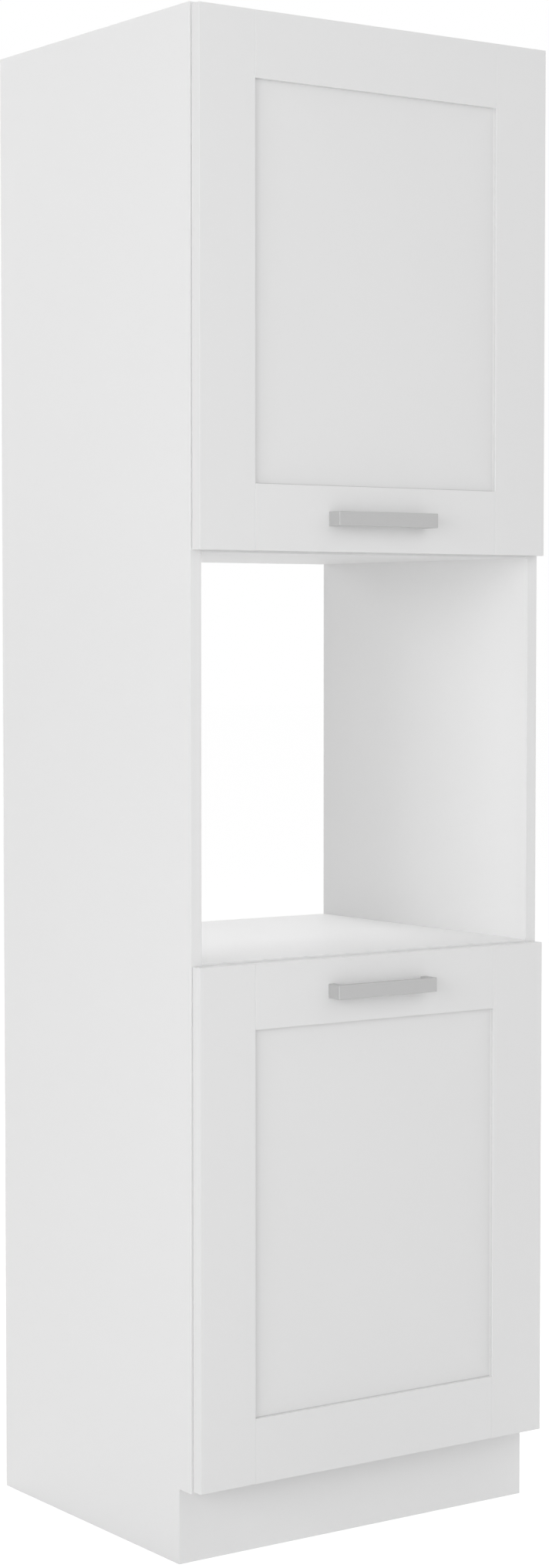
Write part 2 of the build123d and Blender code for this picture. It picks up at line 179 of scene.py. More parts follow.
def panel_painted_shade(tree, spot, recess):
    """Painted shade towards the sides of a centre panel, and a painted shade line along its
    bottom.
    """
    share = add(tree, "ShaderNodeMath", {0: inside_recess(tree, spot, recess), 1: 1 / SHADE_FADE},
                operation="MULTIPLY")
    share = add(tree, "ShaderNodeMath", {0: share.outputs[0]}, operation="SQRT")
    share = add(tree, "ShaderNodeMath", {0: share.outputs[0], 1: -1.0}, operation="MULTIPLY")
    fade = add(tree, "ShaderNodeMath", {0: share.outputs[0]}, operation="EXPONENT")
    low = recess[2]
    gap_shade = add(tree, "ShaderNodeMath", {0: spot["Z"], 1: low + GAP_SHADE_HEIGHT},
                operation="LESS_THAN")
    # E4E4E4 is painted shade towards the sides of the recess, #CCCCCC painted shade of the gap at
    # the bottom rail
    return (fade.outputs[0], "#E4E4E4"), (gap_shade.outputs[0], "#CCCCCC")


def stile_painted_shade(tree, spot, recess):
    """Painted shade on a stile's inner wall, below its front edge."""
    wall = add(tree, "ShaderNodeMath", {0: inside_recess(tree, spot, recess), 1: -WALL_SLACK},
               operation="GREATER_THAN")
    depth = add(tree, "ShaderNodeMapRange", {"Value": spot["Y"], "From Min": door_front,
                                             "From Max": door_front + WALL_SHADE_FADE})
    fade = add(tree, "ShaderNodeMath", {0: wall.outputs[0], 1: depth.outputs[0]},
               operation="MULTIPLY")
    # DEDEDE is painted shade on the stile's inner wall
    return ((fade.outputs[0], "#DEDEDE"),)


# %% Satin lacquer
LACQUER_CLOUDS = 3.0  # to the metre
PEEL = 2 * MM


def lacquer_finish(name, light_tone, dark_tone, roughness, painted_shades=None, recess=None):
    """Sprayed white lacquer with orange peel; an optional function of (tree, spot, recess) gives
    shares and tones of painted shade.
    """
    material, tree, shader, place = new_finish(name, IOR=1.5)
    cloud = add(tree, "ShaderNodeTexNoise", {"Vector": place, "Scale": LACQUER_CLOUDS,
                                             "Detail": 2.0})
    tone = add(tree, "ShaderNodeMix", {0: cloud.outputs["Fac"], 6: linear(dark_tone),
                                       7: linear(light_tone)}, data_type="RGBA")
    # mixes in the painted shade of the recess, if any
    if painted_shades:
        spot = add(tree, "ShaderNodeSeparateXYZ", {"Vector": place}).outputs
        for share, shade_tone in painted_shades(tree, spot, recess):
            tone = add(tree, "ShaderNodeMix", {0: share, 6: tone.outputs[2],
                                               7: linear(shade_tone)}, data_type="RGBA")
    tree.links.new(tone.outputs[2], shader.inputs["Base Color"])
    gloss = add(tree, "ShaderNodeMapRange", {"Value": cloud.outputs["Fac"],
                                             "To Min": roughness - 0.02,
                                             "To Max": roughness + 0.02})
    tree.links.new(gloss.outputs["Result"], shader.inputs["Roughness"])
    peel = add(tree, "ShaderNodeTexNoise", {"Vector": place, "Scale": 1 / PEEL, "Detail": 1.0})
    bump = add(tree, "ShaderNodeBump", {"Height": peel.outputs["Fac"], "Strength": 0.06,
                                        "Distance": 0.05 * MM})
    tree.links.new(bump.outputs["Normal"], shader.inputs["Normal"])
    return material


# %% Lacquer for each piece of a door
SATIN = 0.42

door_lacquer = lacquer_finish("satin_white_lacquer", "#EFEFEF", "#EDEDED", SATIN)
# the panels and stiles get lacquers of their own, with painted shade in the recess
shaded_recess_lacquer = {}
for part, recess in recesses.items():
    shaded_recess_lacquer[part + "panel"] = lacquer_finish(
        part + "panel_satin_white_lacquer", "#F0F0F0", "#EDEDED", SATIN, panel_painted_shade, recess)
    shaded_stile_lacquer = lacquer_finish(
        part + "stile_satin_white_lacquer", "#EFEFEF", "#EDEDED", SATIN, stile_painted_shade, recess)
    shaded_recess_lacquer[part + "left_stile"] = shaded_recess_lacquer[part + "right_stile"] = shaded_stile_lacquer
print("pieces with a lacquer of their own:", len(shaded_recess_lacquer))

# %% [markdown]
# ## Melamine on the carcass boards
#
# The carcass is chipboard with a white melamine skin. Its press plate leaves a fine pearl
# texture, pits of about half a millimetre, and a duller sheen than lacquer. The rear edges
# are never seen on a fitted cabinet, so a maker leaves them without tape: there the pressed
# chips show. The same material can do both, because the object coordinates say how far back
# a point lies. The chips are small cells of a Voronoi pattern, 2.5 mm across, stretched along
# the board as pressed chips are.

# %% Melamine and bare chipboard
MELAMINE_CLOUDS = 2.2  # to the metre
PEARL_PIT = 0.5 * MM
CHIP = 2.5 * MM


def melamine_finish(name, light_tone, dark_tone, bare_from_y):
    """White melamine; faces farther back than bare_from_y show raw chipboard."""
    material, tree, shader, place = new_finish(name, IOR=1.5)
    cloud = add(tree, "ShaderNodeTexNoise", {"Vector": place, "Scale": MELAMINE_CLOUDS,
                                             "Detail": 2.0})
    white = add(tree, "ShaderNodeMix", {0: cloud.outputs["Fac"], 6: linear(dark_tone),
                                        7: linear(light_tone)}, data_type="RGBA")
    stretch = add(tree, "ShaderNodeMapping", {"Vector": place, "Scale": (1.0, 1.0, 0.45)})
    chips = add(tree, "ShaderNodeTexVoronoi", {"Vector": stretch.outputs["Vector"],
                                               "Scale": 1 / CHIP})
    chip_value = add(tree, "ShaderNodeSeparateColor", {"Color": chips.outputs["Color"]})
    wood = add(tree, "ShaderNodeValToRGB", {"Fac": chip_value.outputs["Red"]})
    stops = wood.color_ramp.elements
    stops[0].position, stops[0].color = 0.1, linear("#A98B66")
    stops[1].position, stops[1].color = 0.9, linear("#D6BF9C")
    stops.new(0.5).color = linear("#C2A57F")
    depth = add(tree, "ShaderNodeSeparateXYZ", {"Vector": place})
    bare = add(tree, "ShaderNodeMath", {0: depth.outputs["Y"], 1: bare_from_y},
               operation="GREATER_THAN")
    colour = add(tree, "ShaderNodeMix", {0: bare.outputs["Value"], 6: white.outputs[2],
                                         7: wood.outputs["Color"]}, data_type="RGBA")
    tree.links.new(colour.outputs[2], shader.inputs["Base Color"])
    gloss = add(tree, "ShaderNodeMapRange", {"Value": bare.outputs["Value"], "To Min": 0.5,
                                             "To Max": 0.85})
    tree.links.new(gloss.outputs["Result"], shader.inputs["Roughness"])
    pearl = add(tree, "ShaderNodeTexNoise", {"Vector": place, "Scale": 1 / PEARL_PIT,
                                             "Detail": 0.0})
    relief = add(tree, "ShaderNodeMix", {0: bare.outputs["Value"], 2: pearl.outputs["Fac"],
                                         3: chips.outputs["Distance"]}, data_type="FLOAT")
    bump = add(tree, "ShaderNodeBump", {"Height": relief.outputs[0], "Strength": 0.08,
                                        "Distance": 0.1 * MM})
    tree.links.new(bump.outputs["Normal"], shader.inputs["Normal"])
    return material


carcass_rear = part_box("left_side_panel")[1].y
carcass_melamine = melamine_finish("white_melamine_board", "#F0F0F0", "#EEEEEE",
                                   carcass_rear - 0.05 * MM)
print("bare chipboard at y (mm):", round(carcass_rear / MM, 1))

# %% [markdown]
# ## Hardboard backs
#
# The thin backs are hardboard, painted white on the side that shows and left brown behind.
# Hardboard is felted from wood fibre, so its bare side is a soft brown mottle without any grain
# direction. Again one material does both sides, split in the middle of the board's thickness.

# %% Painted hardboard
FIBRE = 4 * MM


def hardboard_finish(name, split_y):
    """White paint in front of split_y and bare brown fibre behind it."""
    material, tree, shader, place = new_finish(name, IOR=1.5)
    fibre = add(tree, "ShaderNodeTexNoise", {"Vector": place, "Scale": 1 / FIBRE, "Detail": 6.0,
                                             "Roughness": 0.7})
    brown = add(tree, "ShaderNodeMix", {0: fibre.outputs["Fac"], 6: linear("#8F7350"),
                                        7: linear("#B79B74")}, data_type="RGBA")
    depth = add(tree, "ShaderNodeSeparateXYZ", {"Vector": place})
    behind = add(tree, "ShaderNodeMath", {0: depth.outputs["Y"], 1: split_y},
                 operation="GREATER_THAN")
    colour = add(tree, "ShaderNodeMix", {0: behind.outputs["Value"], 6: linear("#ECECEB"),
                                         7: brown.outputs[2]}, data_type="RGBA")
    tree.links.new(colour.outputs[2], shader.inputs["Base Color"])
    gloss = add(tree, "ShaderNodeMapRange", {"Value": behind.outputs["Value"], "To Min": 0.45,
                                             "To Max": 0.75})
    tree.links.new(gloss.outputs["Result"], shader.inputs["Roughness"])
    bump = add(tree, "ShaderNodeBump", {"Height": fibre.outputs["Fac"], "Strength": 0.1,
                                        "Distance": 0.1 * MM})
    tree.links.new(bump.outputs["Normal"], shader.inputs["Normal"])
    return material


back_low, back_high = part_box("upper_back_panel")
back_board = hardboard_finish("painted_hardboard", (back_low.y + back_high.y) / 2)
print("hardboard thickness (mm):", round((back_high.y - back_low.y) / MM, 1))

# %% [markdown]
# ## Metals
#
# Five metals meet in this cabinet. The handles are satin nickel: brushed along their length,
# then sealed with a dull clear lacquer. The brush lines stay as fine streaks that run with X,
# and the lacquer scatters part of the light, so the handles look matt from every side. The
# hinge arms and links are stamped steel under bright nickel, the cams and plates are cast zinc
# with a dull grain, screws are zinc plated with a slightly blue tone, and pins are ground
# bright. A metal has its colour in its reflection, so Metallic is 1 on bare metal and lower
# under lacquer. The index of refraction stays at Blender's default, and what else differs
# between them is colour, roughness and the direction of their fine marks. Real brush lines and
# grains are finer still. They are drawn at 0.2 to 1.5 mm, so that a close view shows them.

# %% Metals
def metal_finish(name, light_tone, dark_tone, roughness, grain, stretch, depth, bare=1.0):
    """A metal with marks grain apart, stretched along X, Y, Z; bare is below 1 under lacquer."""
    material, tree, shader, place = new_finish(name, Metallic=bare)
    scaled = add(tree, "ShaderNodeMapping", {"Vector": place, "Scale": [1 / s for s in stretch]})
    marks = add(tree, "ShaderNodeTexNoise", {"Vector": scaled.outputs["Vector"],
                                             "Scale": 1 / grain, "Detail": 3.0,
                                             "Roughness": 0.6})
    tone = add(tree, "ShaderNodeMix", {0: marks.outputs["Fac"], 6: linear(dark_tone),
                                       7: linear(light_tone)}, data_type="RGBA")
    tree.links.new(tone.outputs[2], shader.inputs["Base Color"])
    gloss = add(tree, "ShaderNodeMapRange", {"Value": marks.outputs["Fac"],
                                             "To Min": roughness - 0.05,
                                             "To Max": roughness + 0.05})
    tree.links.new(gloss.outputs["Result"], shader.inputs["Roughness"])
    bump = add(tree, "ShaderNodeBump", {"Height": marks.outputs["Fac"], "Strength": 0.1,
                                        "Distance": depth})
    tree.links.new(bump.outputs["Normal"], shader.inputs["Normal"])
    return material


satin_nickel = metal_finish("lacquered_satin_nickel", "#C6C6C6", "#BFBFBF", 0.6,
                            0.3 * MM, (40, 1, 1), 0.01 * MM, bare=0.5)
nickel_steel = metal_finish("nickel_plated_stamped_steel", "#C9C8C4", "#BDBCB8", 0.25,
                            1.5 * MM, (1, 1, 1), 0.02 * MM)
cast_zinc = metal_finish("matt_cast_zinc", "#A9ABAE", "#96989B", 0.5,
                         0.4 * MM, (1, 1, 1), 0.05 * MM)
screw_zinc = metal_finish("blue_zinc_plated_steel", "#C2C7CC", "#AEB3B9", 0.3,
                          0.8 * MM, (1, 1, 1), 0.02 * MM)
pin_steel = metal_finish("ground_pin_steel", "#B5B5B6", "#A3A3A4", 0.3,
                         0.2 * MM, (1, 1, 20), 0.01 * MM)
print("metals:", [m.name for m in (satin_nickel, nickel_steel, cast_zinc, screw_zinc, pin_steel)])

# %% [markdown]
# ## Beech and soft plastic
#
# Dowels and corner blocks are plain beech. Beech shows a fine straight grain with short darker
# flecks, a few millimetres long. The dowels lie along X and so do the blocks' fibres, so the
# pattern is stretched along X. The door bumpers are drops of clear soft plastic, which looks a
# little cloudy because it scatters light inside.

# %% Beech
BEECH_GRAIN = 1.2 * MM
BEECH_FLECK = 0.5 * MM


def beech_finish():
    """Straight beech grain along X with short flecks."""
    material, tree, shader, place = new_finish("planed_beech", IOR=1.5, Roughness=0.6)
    along = add(tree, "ShaderNodeMapping", {"Vector": place, "Scale": (0.06, 1.0, 1.0)})
    grain = add(tree, "ShaderNodeTexNoise", {"Vector": along.outputs["Vector"],
                                             "Scale": 1 / BEECH_GRAIN, "Detail": 4.0,
                                             "Roughness": 0.6})
    fleck = add(tree, "ShaderNodeTexNoise", {"Vector": along.outputs["Vector"],
                                             "Scale": 1 / BEECH_FLECK})
    base = add(tree, "ShaderNodeMix", {0: grain.outputs["Fac"], 6: linear("#B98F60"),
                                       7: linear("#DDBB8D")}, data_type="RGBA")
    dark = add(tree, "ShaderNodeMapRange", {"Value": fleck.outputs["Fac"], "From Min": 0.62,
                                            "From Max": 0.7})
    colour = add(tree, "ShaderNodeMix", {0: dark.outputs["Result"], 6: base.outputs[2],
                                         7: linear("#9B7144")}, data_type="RGBA")
    tree.links.new(colour.outputs[2], shader.inputs["Base Color"])
    bump = add(tree, "ShaderNodeBump", {"Height": grain.outputs["Fac"], "Strength": 0.15,
                                        "Distance": 0.1 * MM})
    tree.links.new(bump.outputs["Normal"], shader.inputs["Normal"])
    return material


beech = beech_finish()
print("wood:", beech.name)

# %% Bumper plastic
def bumper_finish():
    """Clear soft plastic, a little cloudy inside."""
    material, tree, shader, place = new_finish("clear_soft_plastic", IOR=1.46, Roughness=0.2,
                                               Transmission_Weight=0.6)
    cloud = add(tree, "ShaderNodeTexNoise", {"Vector": place, "Scale": 1 / (3 * MM)})
    tone = add(tree, "ShaderNodeMix", {0: cloud.outputs["Fac"], 6: linear("#DDE0E0"),
                                       7: linear("#F0F2F2")}, data_type="RGBA")
    tree.links.new(tone.outputs[2], shader.inputs["Base Color"])
    return material


clear_plastic = bumper_finish()
print("plastic:", clear_plastic.name)

# %% [markdown]
# ## Give each piece its finish
#
# The record of the model already sorts its pieces by material slot. One table from slot to finish
# dresses them all, apart from the panels and stiles, which have a lacquer of their own with
# painted shade in the recess.

# %% Dress the pieces
finish_of_slot = {
    "door_lacquer": door_lacquer,
    "carcass_melamine": carcass_melamine,
    "back_board": back_board,
    "handle_metal": satin_nickel,
    "beech": beech,
    "die_cast_zinc": cast_zinc,
    "nickel_plated_steel": nickel_steel,
    "zinc_plated_steel": screw_zinc,
    "pin_steel": pin_steel,
    "clear_bumper": clear_plastic,
}
record = frame["record"]
slot_of = {entry["node"]: entry["material_slot"] for entry in record["subparts"]}
body_of = {node: body for body, members in record["behaviour"]["bodies"].items()
           for node in members}
for node, slot in slot_of.items():
    mesh = nodes[node].data
    mesh.materials.clear()
    # panels and stiles take their lacquer with painted shade
    mesh.materials.append(shaded_recess_lacquer.get(node, finish_of_slot[slot]))
print("finishes:", len(finish_of_slot) + len(set(shaded_recess_lacquer.values())))

# %% [markdown]
# ## Where the small parts sit
#
# Screws and pins come in groups: one CAD node holds all the screws of one kind. To dress them
# one by one, the script needs each screw's place, direction and size. Typing these numbers a
# second time would invite mistakes, so they are measured. A node's mesh is loose triangles;
# a copy with its doubles merged falls apart into one island for each screw. The island's
# longest side is the screw's axis, and the wider end is its head.

# %% Measure the small parts
WELD = 0.005 * MM  # points closer than this are doubles
END = 0.01 * MM    # points this close to an end belong to it


def islands(node):
    """The points of each separate solid in a node, as lists of vectors."""
    shape = bmesh.new()
    shape.from_mesh(nodes[node].data)
    bmesh.ops.remove_doubles(shape, verts=shape.verts, dist=WELD)
    left, found = set(shape.verts), []
    while left:
        island, open_ends = [], [left.pop()]
        while open_ends:
            vertex = open_ends.pop()
            island.append(vertex.co.copy())
            for edge in vertex.link_edges:
                other = edge.other_vert(vertex)
                if other in left:
                    left.remove(other)
                    open_ends.append(other)
        found.append(island)
    shape.free()
    return found


def seats(node):
    """For each turned part of a node: head end, direction to the tip, length, both radii."""
    found = []
    for points in islands(node):
        low = Vector([min(p[k] for p in points) for k in range(3)])
        high = Vector([max(p[k] for p in points) for k in range(3)])
        middle, size = (low + high) / 2, high - low
        axis = max(range(3), key=lambda k: size[k])
        radius = {}
        for end in (low[axis], high[axis]):
            ring = [p - middle for p in points if abs(p[axis] - end) < END]
            for p in ring:
                p[axis] = 0
            radius[end] = max(p.length for p in ring)
        head = max(radius, key=radius.get)
        aim = Vector((0, 0, 0))
        aim[axis] = 1.0 if head == low[axis] else -1.0
        middle[axis] = head
        found.append((middle, aim, size[axis], radius[head], min(radius.values())))
    return sorted(found, key=lambda seat: tuple(seat[0]))


for node in ("upper_plate_screws", "upper_handle_screws", "wall_bracket_screws",
             "plinth_block_screws"):
    found = seats(node)
    print(node, len(found), "with length, head and shank radius (mm):",
          [round(v / MM, 2) for v in found[0][2:]])

# %% [markdown]
# ## A lathe made of nodes
#
# Screws and pins are turned bodies. Geometry Nodes can turn them too: a flat grid is rolled
# up, so that one side of the grid goes round the axis while the other follows an outline from
# the middle of one end to the middle of the other. Two curve nodes hold the outline, as shares
# of a radius and of a height, so one outline serves every size. A tree ends the same way each
# time: it stands a copy on each measured point, turns it to its direction, makes the copies
# real and gives them their finish.

# %% Lathe
ROLL_WELD = 0.001 * MM


def new_tree(name, sizes):
    """A geometry tree with a named input for each size; gives the tree and its inputs."""
    tree = bpy.data.node_groups.new(name, "GeometryNodeTree")
    for way in ("INPUT", "OUTPUT"):
        tree.interface.new_socket("Geometry", in_out=way, socket_type="NodeSocketGeometry")
    for title in sizes:
        tree.interface.new_socket(title, in_out="INPUT", socket_type="NodeSocketFloat")
    tree.interface.new_socket("Finish", in_out="INPUT", socket_type="NodeSocketMaterial")
    return tree, add(tree, "NodeGroupInput").outputs


def roll_up(tree, around, rings, outline, radius, height, ridge=None):
    """A closed body turned round Z; ridge(turn, along) may vary its radius."""
    grid = add(tree, "GeometryNodeMeshGrid", {"Size X": 1.0, "Size Y": 1.0,
                                              "Vertices X": around + 1, "Vertices Y": rings})
    position = add(tree, "GeometryNodeInputPosition").outputs[0]
    spot = add(tree, "ShaderNodeSeparateXYZ", {0: position}).outputs
    turn = add(tree, "ShaderNodeMath", {0: spot["X"], 1: math.tau},
               operation="MULTIPLY").outputs[0]
    along = add(tree, "ShaderNodeMath", {0: spot["Y"], 1: 0.5}, operation="ADD").outputs[0]
    sizes = []
    for side, size in enumerate((radius, height)):
        share = add(tree, "ShaderNodeFloatCurve", {"Value": along})
        points = share.mapping.curves[0].points
        for _ in outline[2:]:
            points.new(0.5, 0.5)
        for step, corner in enumerate(outline):
            points[step].location = step / (len(outline) - 1), corner[side]
            points[step].handle_type = "VECTOR"
        share.mapping.update()
        sizes.append(add(tree, "ShaderNodeMath", {0: share.outputs[0], 1: size},
                         operation="MULTIPLY").outputs[0])
    if ridge:
        sizes[0] = add(tree, "ShaderNodeMath", {0: sizes[0], 1: ridge(turn, sizes[1])},
                       operation="MULTIPLY").outputs[0]
    flat = []
    for way in ("COSINE", "SINE"):
        wheel = add(tree, "ShaderNodeMath", {0: turn}, operation=way)
        flat.append(add(tree, "ShaderNodeMath", {0: wheel.outputs[0], 1: sizes[0]},
                        operation="MULTIPLY").outputs[0])
    place = add(tree, "ShaderNodeCombineXYZ", {"X": flat[0], "Y": flat[1], "Z": sizes[1]})
    rolled = add(tree, "GeometryNodeSetPosition", {"Geometry": grid.outputs["Mesh"],
                                                   "Position": place.outputs[0]})
    closed = add(tree, "GeometryNodeMergeByDistance", {"Geometry": rolled.outputs[0],
                                                       "Distance": ROLL_WELD})
    return closed.outputs[0]


# %% Copies on points
def stand_copies(tree, inputs, body, seed):
    """The end of a tree: a real, finished copy of the body on each point, aimed and turned."""
    aim = add(tree, "GeometryNodeInputNamedAttribute", {"Name": "aim"},
              data_type="FLOAT_VECTOR")
    straight = add(tree, "FunctionNodeAlignRotationToVector", {"Vector": aim.outputs[0]},
                   axis="Z")
    angle = add(tree, "FunctionNodeRandomValue", {"Max": math.tau, "Seed": seed},
                data_type="FLOAT")
    twist = add(tree, "ShaderNodeCombineXYZ", {"Z": angle.outputs["Value"]})
    twist = add(tree, "FunctionNodeEulerToRotation", {0: twist.outputs[0]})
    turned = add(tree, "FunctionNodeRotateRotation", {0: straight.outputs[0],
                                                      1: twist.outputs[0]},
                 rotation_space="LOCAL")
    copies = add(tree, "GeometryNodeInstanceOnPoints", {"Points": inputs["Geometry"],
                                                        "Instance": body,
                                                        "Rotation": turned.outputs[0]})
    finish_tree(tree, inputs, copies.outputs[0])


def finish_tree(tree, inputs, geometry):
    """Makes all copies real, gives them the finish, and leads them out of the tree."""
    real = add(tree, "GeometryNodeRealizeInstances", {"Geometry": geometry})
    done = add(tree, "GeometryNodeSetMaterial", {"Geometry": real.outputs[0],
                                                 "Material": inputs["Finish"]})
    add(tree, "NodeGroupOutput", {"Geometry": done.outputs[0]})


# %% [markdown]
# ## From a tree to a piece
#
# A tree is only a recipe until a modifier runs it. The modifier knows its inputs by their
# identifiers, because their names are for people only. What comes out is copied to a plain
# mesh, so that no modifier is left. The piece then has to be told which body it rides on, and
# mostly also which CAD node it stands for, so that the node doesn't show inside it.

# %% Run a tree and settle a piece
CRISP = math.radians(35)


def run_tree(name, tree, points, edges=(), aims=None, **values):
    """Runs a tree on points and gives the result as a plain mesh object."""
    mesh = bpy.data.meshes.new(name)
    mesh.from_pydata(points, edges, [])
    if aims:
        attribute = mesh.attributes.new("aim", "FLOAT_VECTOR", "POINT")
        for item, aim in zip(attribute.data, aims):
            item.vector = aim
    piece = bpy.data.objects.new(name, mesh)
    bpy.context.scene.collection.objects.link(piece)
    modifier = piece.modifiers.new(tree.name, "NODES")
    modifier.node_group = tree
    for socket in tree.interface.items_tree:
        key = socket.name.replace(" ", "_").lower()
        if socket.in_out == "INPUT" and key in values:
            modifier[socket.identifier] = values[key]
    plain_mesh(piece)
    bpy.data.meshes.remove(mesh)
    return piece


def plain_mesh(piece):
    """Gives the object the mesh that its modifier makes, and removes the modifier."""
    evaluated = piece.evaluated_get(bpy.context.evaluated_depsgraph_get())
    result = bpy.data.meshes.new_from_object(evaluated)
    piece.modifiers.clear()
    piece.data = result


def settle(piece, node, replaces=True):
    """Smooth faces with crisp edges, unless the mesh has normals of its own; the piece then rides
    on the node's body and, if it replaces the node, hides it.
    """
    if not piece.data.has_custom_normals:
        piece.data.shade_smooth()
        piece.data.set_sharp_from_angle(angle=CRISP)
    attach(piece, body_of[node])
    if replaces:
        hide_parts(node)


# %% [markdown]
# ## Screws
#
# Every screw here is cold-formed steel with a low domed head and a cross recess. It could be
# modelled once and copied by hand, but the cabinet has dozens in several sizes, so one tree
# makes them all from named sizes. The head and the shank are turned bodies. The thread is a
# ridge that climbs one pitch in each turn, and a Boolean cuts the cross recess. A fixed seed
# turns each screw a little, because nobody stops them all at the same angle.

# %% Screw outlines and thread
THREAD_ROOT = 0.74  # of the shank's radius
head_outline = [(0, 0), (0.4, 0.02), (0.68, 0.1), (0.87, 0.25), (0.97, 0.48), (1, 0.75),
                (0.97, 0.95), (0.9, 1), (0, 1)]
shank_outline = [(0, 0), (1, 0), (1, 0.25), (1, 0.5), (1, 0.75), (0.92, 0.9), (0, 1)]
screw_tree, sizes = new_tree("cross_recess_screw", ("Head Radius", "Head Height",
                                                    "Shank Radius", "Shank Length", "Pitch"))


def thread(turn, rise):
    """A sharp ridge round the shank, from the thread's root to the full radius."""
    climb = add(screw_tree, "ShaderNodeMath", {0: rise, 1: sizes["Pitch"]}, operation="DIVIDE")
    around = add(screw_tree, "ShaderNodeMath", {0: turn, 1: math.tau}, operation="DIVIDE")
    phase = add(screw_tree, "ShaderNodeMath", {0: climb.outputs[0], 1: around.outputs[0]},
                operation="SUBTRACT")
    ridge = add(screw_tree, "ShaderNodeMath", {0: phase.outputs[0], 1: 0.5},
                operation="PINGPONG")
    return add(screw_tree, "ShaderNodeMath", {0: ridge.outputs[0], 1: (1 - THREAD_ROOT) / 0.5,
                                              2: THREAD_ROOT},
               operation="MULTIPLY_ADD").outputs[0]


# %% Screw tree
RECESS_REACH, RECESS_WIDTH = 1.05, 0.2  # of the head's radius
RECESS_DEPTH = 1.3                      # of the head's height, half of it above the head
RINGS_PER_TURN, SPARE_RINGS = 6.0, 8.0

blank = roll_up(screw_tree, 32, len(head_outline), head_outline, sizes["Head Radius"],
                sizes["Head Height"])
reach, width, depth = [
    add(screw_tree, "ShaderNodeMath", {0: sizes[base], 1: share}, operation="MULTIPLY").outputs[0]
    for base, share in (("Head Radius", RECESS_REACH), ("Head Radius", RECESS_WIDTH),
                        ("Head Height", RECESS_DEPTH))]
slots = []
for across, along in ((reach, width), (width, reach)):
    size = add(screw_tree, "ShaderNodeCombineXYZ", {"X": across, "Y": along, "Z": depth})
    slots.append(add(screw_tree, "GeometryNodeMeshCube", {"Size": size.outputs[0]}))
cut = add(screw_tree, "GeometryNodeMeshBoolean", {"Mesh 1": blank,
                                                  "Mesh 2": slots[0].outputs["Mesh"]},
          operation="DIFFERENCE", solver="EXACT")
screw_tree.links.new(slots[1].outputs["Mesh"], cut.inputs["Mesh 2"])
turns = add(screw_tree, "ShaderNodeMath", {0: sizes["Shank Length"], 1: sizes["Pitch"]},
            operation="DIVIDE")
rings = add(screw_tree, "ShaderNodeMath", {0: turns.outputs[0], 1: RINGS_PER_TURN,
                                           2: SPARE_RINGS}, operation="MULTIPLY_ADD")
rod = roll_up(screw_tree, 12, rings.outputs[0], shank_outline, sizes["Shank Radius"],
              sizes["Shank Length"], thread)
lift = add(screw_tree, "ShaderNodeCombineXYZ", {"Z": sizes["Head Height"]})
rod = add(screw_tree, "GeometryNodeTransform", {"Geometry": rod, "Translation": lift.outputs[0]})
whole = add(screw_tree, "GeometryNodeJoinGeometry", {0: cut.outputs["Mesh"]})
screw_tree.links.new(rod.outputs[0], whole.inputs[0])
stand_copies(screw_tree, sizes, whole.outputs[0], seed=7)
print("nodes in the screw tree:", len(screw_tree.nodes))

# %% Put the screws in
# Head height and thread pitch in millimetres.
screw_groups = {"wall_bracket_screws": (2.2, 1.8), "plinth_block_screws": (2.2, 1.8)}
for part in ("upper_", "lower_"):
    screw_groups[part + "plate_screws"] = 2.2, 1.8
    screw_groups[part + "arm_clamp_screws"] = 2.0, 0.8
    screw_groups[part + "cup_screws"] = 1.4, 1.4
    screw_groups[part + "handle_screws"] = 2.4, 0.7
for node, (head_height, pitch) in screw_groups.items():
    found = seats(node)
    length, head_radius, shank_radius = found[0][2:]
    screws = run_tree(node + "_threaded", screw_tree, [seat[0] for seat in found],
                      aims=[seat[1] for seat in found], head_radius=head_radius,
                      head_height=head_height * MM, shank_radius=shank_radius,
                      shank_length=length - head_height * MM, pitch=pitch * MM,
                      finish=screw_zinc)
    settle(screws, node)
    print(node, len(found), "screws,", len(screws.data.polygons), "faces")

# %% [markdown]
# A hinge arm has a second, smaller screw in front of the clamp screw. It moves the door
# sideways. The solid model leaves it out, so it is added here with the same tree, 16 mm in
# front of each clamp screw.

# %% Side adjusting screws
ADJUSTER_PLACE = Vector((0.4, -16, 0)) * MM  # from the clamp screw

for part in ("upper_", "lower_"):
    clamp = seats(part + "arm_clamp_screws")
    screws = run_tree(part + "side_adjusting_screws", screw_tree,
                      [seat[0] + ADJUSTER_PLACE for seat in clamp],
                      aims=[seat[1] for seat in clamp], head_radius=3.0 * MM,
                      head_height=1.6 * MM, shank_radius=2.0 * MM, shank_length=7.0 * MM,
                      pitch=0.7 * MM, finish=screw_zinc)
    settle(screws, part + "arm_clamp_screws", replaces=False)
    print(part + "side_adjusting_screws", len(clamp), "screws")

# %% [markdown]
# ## Shelf pins
#
# A shelf pin is turned from steel: a 5 mm shaft with a bevelled tip, and a thin collar that
# stops it at the side panel. The collar stands in the 1 mm gap between panel and shelf. It is
# the same kind of body as a screw's head, so the lathe makes it too.

# %% Shelf pins
COLLAR = 3.6  # radius, in millimetres as all numbers of the shape

